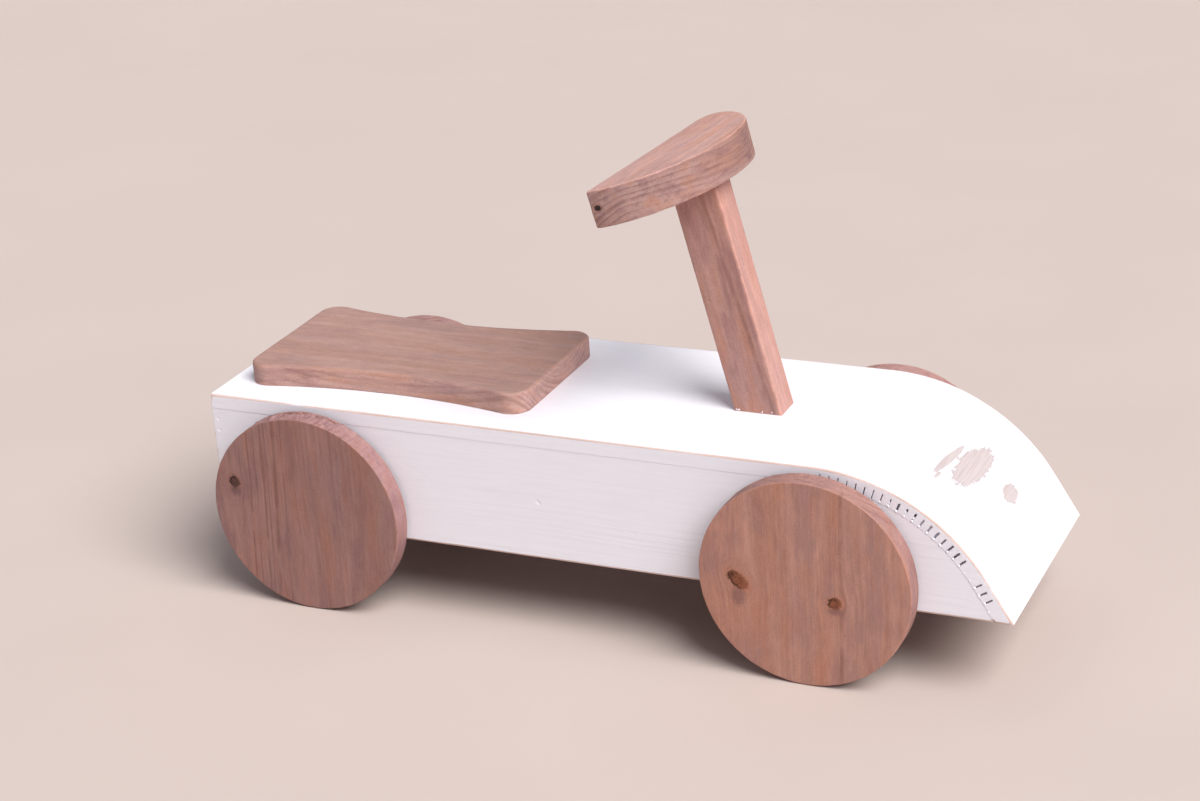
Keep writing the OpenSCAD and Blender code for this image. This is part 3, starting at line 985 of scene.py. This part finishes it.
def make_handlebar():
    def place(u, v, w):
        return BAR_FOOT + BAR_FORE * u + BAR_LONG * v + POST_UP * w

    def edge(u, v, end):
        if end:
            return 1.1 * MM * (1 + 0.25 * ripple((u, v, end), 20 * MM)), 0.5
        chip = max(0, ripple((u, v, end), 11 * MM, 4) - 0.15)
        return (0.6 + 3.4 * chip) * MM, 0.1

    # A knot hole: a shallow dimple whose near black colour is painted shade for the depth of the hole.
    hole = BAR_FOOT - BAR_FORE * (BAR_BACK - 5.5 * MM) - BAR_LONG * (BAR_L / 2) + POST_UP * 12.5 * MM
    piece = slab("handle_board", bar_outline(), 0, BAR_T, place, edge, 4 * MM, 2.0 * MM)

    def lift(p, n):
        if abs(n.dot(POST_UP)) > 0.6:
            return 0.12 * MM * ripple(p, 40 * MM) - 0.06 * MM
        rough = 0.35 * ripple(p, 24 * MM) + 0.16 * ripple(p, 6 * MM) + 0.10 * ripple(p, 3 * MM, 9) - 0.3
        return rough * MM + dimple(p, hole, 2.2 * MM, 1.4 * MM)

    reshape(piece, lift)
    centre = BAR_FOOT + POST_UP * (BAR_T / 2)
    cracks = [(centre + (BAR_FORE * 30 + BAR_LONG * along + POST_UP * up) * MM, 0.03, width)
              for along, up, width in ((40, 6, 0.8), (55, -7, 0.7), (0, 1, 1.5))]
    tip_streak = (centre - BAR_LONG * (BAR_L / 2) - POST_UP * MM, 0.05, 1.8)
    timber = Timber(centre, BAR_LONG, POST_UP, (-96, 8), 4.4, 17.0, wave=6, slope=0.03,
                    knots=[(hole, 2.2, 2.4, 0.0)], veins=[*cracks, tip_streak], knot_reach=1.1)
    # The handlebar's sides are drawn darker than its top: partly the wood's tone, partly painted shade.
    material = stained_wood("handle_stain", timber, (0.53, 0.312, 0.267), late=0.18, side_late=0.4, red=0.6,
                            grey=0.25, blush=0.7, face=POST_UP, edge_shade=0.62,
                            knot_tone=(0.02, 0.012, 0.012))
    return finish_piece(piece, material, "stained_wood", "handlebar")


# ---------------- wheels

def make_wheel(node, heart, ring, seed, torn, knots, veins, **stain):
    """A disc sawn out of a board, its rim a little out of true and its edges sanded. Knots and veins start
    with their place from the hub, and torn is how rough the saw left the rim where it cut across the
    grain, all in millimetres."""
    low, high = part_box(node)
    hub = (low + high) / 2
    radius = (high.z - low.z) / 2
    side = LEFT if hub.y > 0 else RIGHT
    inner, outer = sorted((abs(low.y), abs(high.y)))

    def on_face(x, z):
        return Vector((hub.x + x * MM, side * outer, hub.z + z * MM))

    knots = [(on_face(x, z), *rest) for x, z, *rest in knots]
    veins = [(on_face(x, z), *rest) for x, z, *rest in veins]
    outline = arc((0, 0), radius - 0.15 * MM, 0, 360, 1.6 * MM)[:-1]

    def edge(u, v, end):
        return 1.0 * MM * (1 + 0.35 * ripple((u, v, end), 14 * MM, seed)), 0.8

    spots = [point for point, _, _, _ in knots]
    finer = [(p.x - hub.x, p.z - hub.z, 9 * MM) for p in spots]
    piece = slab(node + "_disc", outline, 0, high.y - low.y,
                 lambda u, v, w: (hub.x + u, side * (inner + w), hub.z + v), edge, 3 * MM, 1.8 * MM, finer)

    def lift(p, n):
        if abs(n.y) < 0.8:
            crosswise = abs(p.z - hub.z) / radius
            rough = ripple(p, 5 * MM, seed) + ripple(p, 2.6 * MM, seed) - 0.8
            deep = torn * max(0, crosswise - 0.35) * rough
            return (0.16 * ripple(p, 16 * MM, seed) - 0.16 + deep) * MM
        dents = sum(dimple(p, point, 2.6 * MM, 0.5 * MM) for point in spots)
        return 0.1 * MM * ripple(p, 45 * MM, seed) - 0.1 * MM + dents

    reshape(piece, lift)
    timber = Timber(on_face(0, 0), Z, X, heart, ring, seed, knots, veins, wave=6)
    # The greyer, bluer tint on the wheel's rim is partly the wood's own grey and partly painted cool shade.
    material = stained_wood(node + "_stain", timber, blush=0.8, face=Y, edge_grey_and_cool_shade=0.55, **stain)
    body = "front_wheelset" if hub.x > 0 else "rear_wheelset"
    return finish_piece(piece, material, "stained_wood", node, body=body)


def make_wheels():
    # How light each wheel's rim is drawn is partly the wood's own tone and partly painted light and shade.
    make_wheel("wheel_front_right", tone=(0.400, 0.206, 0.156), heart=(16, 70), ring=10.0, seed=21.0,
               torn=0.9, late=0.12, red=0.5, grey=0.65, edge_shade=0.98,
               knots=[(-52, -3, 5.2, 8.8, 0.85), (23.6, -11.5, 5.0, 4.2, 0.3)],
               veins=[(30, 60, 0.02, 2.4)])
    thin_veins = [(x, 0, 0.04, half_width) for x, half_width in
                  ((-58, 0.8), (-50, 1.2), (-44, 0.7), (-37, 1.3), (-33, 0.6), (-18, 0.9))]
    make_wheel("wheel_rear_right", tone=(0.288, 0.152, 0.129), heart=(-96, 24), ring=4.6, seed=31.0,
               torn=2.6, late=0.2, red=0.5, grey=0.5, edge_shade=1.27,
               knots=[(-63, 21.5, 4.4, 5.0, 0.1)], knot_tone=(0.085, 0.036, 0.029),
               veins=[(-23, 60, 0.06, 2.2), *thin_veins])
    make_wheel("wheel_front_left", tone=(0.40, 0.212, 0.168), heart=(-30, -64), ring=7.2, seed=41.0,
               torn=0.8, late=0.25, red=0.5, grey=0.55, edge_shade=1.1,
               knots=[(34, 26, 4.6, 5.6, 0.4)], veins=[(-20, 0, 0.03, 2.2)])
    make_wheel("wheel_rear_left", tone=(0.35, 0.19, 0.155), heart=(44, -50), ring=6.6, seed=51.0,
               torn=1.0, late=0.3, red=0.4, grey=0.6, edge_shade=1.1,
               knots=[(12, -38, 4.0, 4.8, -0.5), (-28, 30, 5.2, 6.4, 0.3)],
               veins=[(40, 10, -0.03, 2.2)])


# ---------------- parts that stay as the CAD has them

def finish_cad_nodes():
    """Materials for the CAD nodes that are shown as they are."""
    ways = {"nose_block": Y, "front_brace": Y, "rear_brace": Y, "glue_strip_right": X, "glue_strip_left": X,
            "post_block": X, "handlebar_dowels": POST_UP, "front_axle": Y, "rear_axle": Y,
            "front_spacers": Y, "rear_spacers": Y}
    steel = zinc("zinc_plate")
    materials = {"post_screws": steel, "seat_screws": steel}
    for number, (node, way) in enumerate(ways.items()):
        low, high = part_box(node)
        across = X if way == Y else Y
        timber = Timber((low + high) / 2, way, across, (18, 36), 4.0 + number * 0.3, 60.0 + number * 3.7)
        materials[node] = bare_wood(node + "_wood", timber)
    for node, material in materials.items():
        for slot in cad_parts[node].material_slots:
            slot.material = material


# ---------------- stage

def pale_floor():
    bpy.ops.mesh.primitive_plane_add(size=80)
    floor = bpy.context.object
    floor.name = "studio_floor"
    g = Graph("floor_plaster", specular=0.03)
    tint = g.noise(g.x / 260, g.y / 260, 0.0, 4)
    colour = g.mix(tint.step(0.3, 0.7), (0.553, 0.467, 0.425), (0.567, 0.480, 0.437))
    floor.data.materials.append(g.finish(colour, 0.86 + tint * 0.05, tint * 0.1))


def studio_world():
    """Soft light from all round; the camera sees a backdrop as bright as the floor."""
    world = bpy.data.worlds.new("studio")
    scene.world = world
    world.use_nodes = True
    tree = world.node_tree
    fill = tree.nodes["Background"]
    fill.inputs["Color"].default_value = (0.93, 0.92, 1.08, 1)
    fill.inputs["Strength"].default_value = 0.24
    backdrop = tree.nodes.new("ShaderNodeBackground")
    backdrop.inputs["Color"].default_value = (0.72, 0.62, 0.57, 1)
    path = tree.nodes.new("ShaderNodeLightPath")
    either = tree.nodes.new("ShaderNodeMixShader")
    tree.links.new(path.outputs["Is Camera Ray"], either.inputs[0])
    tree.links.new(fill.outputs[0], either.inputs[1])
    tree.links.new(backdrop.outputs[0], either.inputs[2])
    tree.links.new(either.outputs[0], tree.nodes["World Output"].inputs["Surface"])


def lamp(kind, name, place, target, energy, colour, **settings):
    """A light at place that shines towards target."""
    light = bpy.data.lights.new(name, kind)
    light.energy = energy
    light.color = colour
    for key, setting in settings.items():
        setattr(light, key, setting)
    thing = bpy.data.objects.new(name, light)
    scene.collection.objects.link(thing)
    thing.location = place
    thing.rotation_euler = (Vector(target) - Vector(place)).to_track_quat("-Z", "Y").to_euler()


def studio_lights():
    lamp("SUN", "window", (0.885, -0.467, 1.19), (0, 0, 0), 4.15, (1.0, 0.99, 0.975), angle=radians(40))
    lamp("AREA", "front_box", (1.5, -1.3, 0.9), (0.2, 0, 0.1), 4.0, (0.96, 0.97, 1.12), size=1.0)
    lamp("SUN", "far_window", (-1.0, 0.8, 1.3), (0, 0, 0), 0.4, (1.0, 1.0, 1.0), angle=radians(70))


def photo_camera():
    """The view of the reference: high from the right side, turned a little towards the nose."""
    azimuth, elevation, roll = radians(24.857), radians(22.431), radians(-3.439)
    back = Vector((sin(azimuth) * cos(elevation), -cos(azimuth) * cos(elevation), sin(elevation)))
    right = Vector((cos(azimuth), sin(azimuth), 0))
    turn = Matrix((right, back.cross(right), back)).transposed() @ Matrix.Rotation(roll, 3, "Z")
    data = bpy.data.cameras.new("camera")
    data.sensor_width = 36
    data.lens = 77.58
    camera = bpy.data.objects.new("camera", data)
    scene.collection.objects.link(camera)
    camera.matrix_world = Matrix.Translation((0.7745, -1.7416, 0.9522)) @ turn.to_4x4()
    scene.camera = camera


photo_camera()
pale_floor()
studio_world()
studio_lights()
make_top_board()
make_side_panel(RIGHT, "right_side")
make_side_panel(LEFT, "left_side")
make_kerf_paint(RIGHT, "kerf_paint_right")
make_kerf_paint(LEFT, "kerf_paint_left")
make_rear_panel()
make_nails()
make_seat()
make_post()
make_paint_specks()
make_handlebar()
make_wheels()
finish_cad_nodes()
scene.view_settings.view_transform = "Standard"
